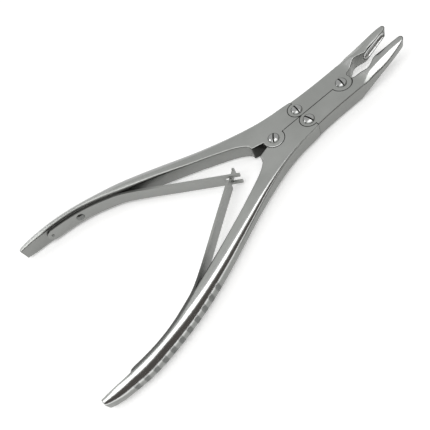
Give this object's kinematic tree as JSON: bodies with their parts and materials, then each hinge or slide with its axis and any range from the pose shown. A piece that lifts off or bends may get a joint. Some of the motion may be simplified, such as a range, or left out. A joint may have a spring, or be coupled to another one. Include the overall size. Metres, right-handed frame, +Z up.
{
  "type": "bone rongeur",
  "caption": "Double-action bone rongeur: two flat box-jointed handles, link-driven cupped jaws that curve up, domed slotted pivot screws and crossed leaf springs",
  "frame": {"origin": "middle of the overall box at rest, on the plane that the instrument lies on", "axes": "+Y towards the jaw tips, +X to the right-hand handle seen from above with the tips away, +Z up along the pivots"},
  "size_m": [0.1194, 0.2402, 0.0172],
  "materials": {
    "satin_steel": "satin ground and brushed, with polished edges",
    "polished_steel": "polished",
    "spring_steel": "fine satin"
  },
  "bodies": {
    "left_handle": {"left_handle": "satin_steel", "rear_pivot_screw": "polished_steel", "rear_pivot_nut": "polished_steel", "left_spring_screw": "polished_steel", "left_spring_pin": "polished_steel"},
    "right_handle": {"right_handle": "satin_steel", "right_spring_screw": "polished_steel", "right_spring_pin": "polished_steel"},
    "left_jaw": {"left_jaw": "satin_steel", "left_link_screw": "polished_steel", "left_link_nut": "polished_steel", "front_pivot_screw": "polished_steel", "front_pivot_nut": "polished_steel"},
    "right_jaw": {"right_jaw": "satin_steel", "right_link_screw": "polished_steel", "right_link_nut": "polished_steel"},
    "left_spring": {"left_leaf_spring": "spring_steel"},
    "right_spring": {"right_leaf_spring": "spring_steel"}
  },
  "joints": [
    {"name": "handle_squeeze", "type": "hinge", "parent": "left_handle", "child": "right_handle", "pos_m": [0, 0.03115, 0.00621], "axis": [0, 0, -1], "range_deg": [0, 20.9], "stiffness_Nm_per_rad": 3, "springref_deg": -2.86},
    {"name": "left_link_turn", "type": "hinge", "parent": "left_handle", "child": "left_jaw", "pos_m": [-0.00517, 0.05235, 0.00621], "axis": [0, 0, -1], "range_deg": [0, 18.17]},
    {"name": "jaw_close", "type": "hinge", "parent": "left_jaw", "child": "right_jaw", "pos_m": [0, 0.08075, 0.00621], "axis": [0, 0, 1], "range_deg": [0, 15.42]},
    {"name": "left_spring_bend", "type": "hinge", "parent": "left_handle", "child": "left_spring", "pos_m": [-0.0364, -0.04845, 0.00621], "axis": [0, 0, 1], "range_deg": [0, 6.09], "deforming": ["left_leaf_spring"]},
    {"name": "right_spring_bend", "type": "hinge", "parent": "right_handle", "child": "right_spring", "pos_m": [0.0364, -0.04845, 0.00621], "axis": [0, 0, -1], "range_deg": [0, 6.09], "deforming": ["right_leaf_spring"]}
  ],
  "couplings": [
    {"joint": "left_link_turn", "follows": "handle_squeeze", "ratio": 0.86851},
    {"joint": "jaw_close", "follows": "handle_squeeze", "ratio": 0.73702},
    {"joint": "left_spring_bend", "follows": "handle_squeeze", "ratio": 0.29062},
    {"joint": "right_spring_bend", "follows": "handle_squeeze", "ratio": 0.29062}
  ]
}
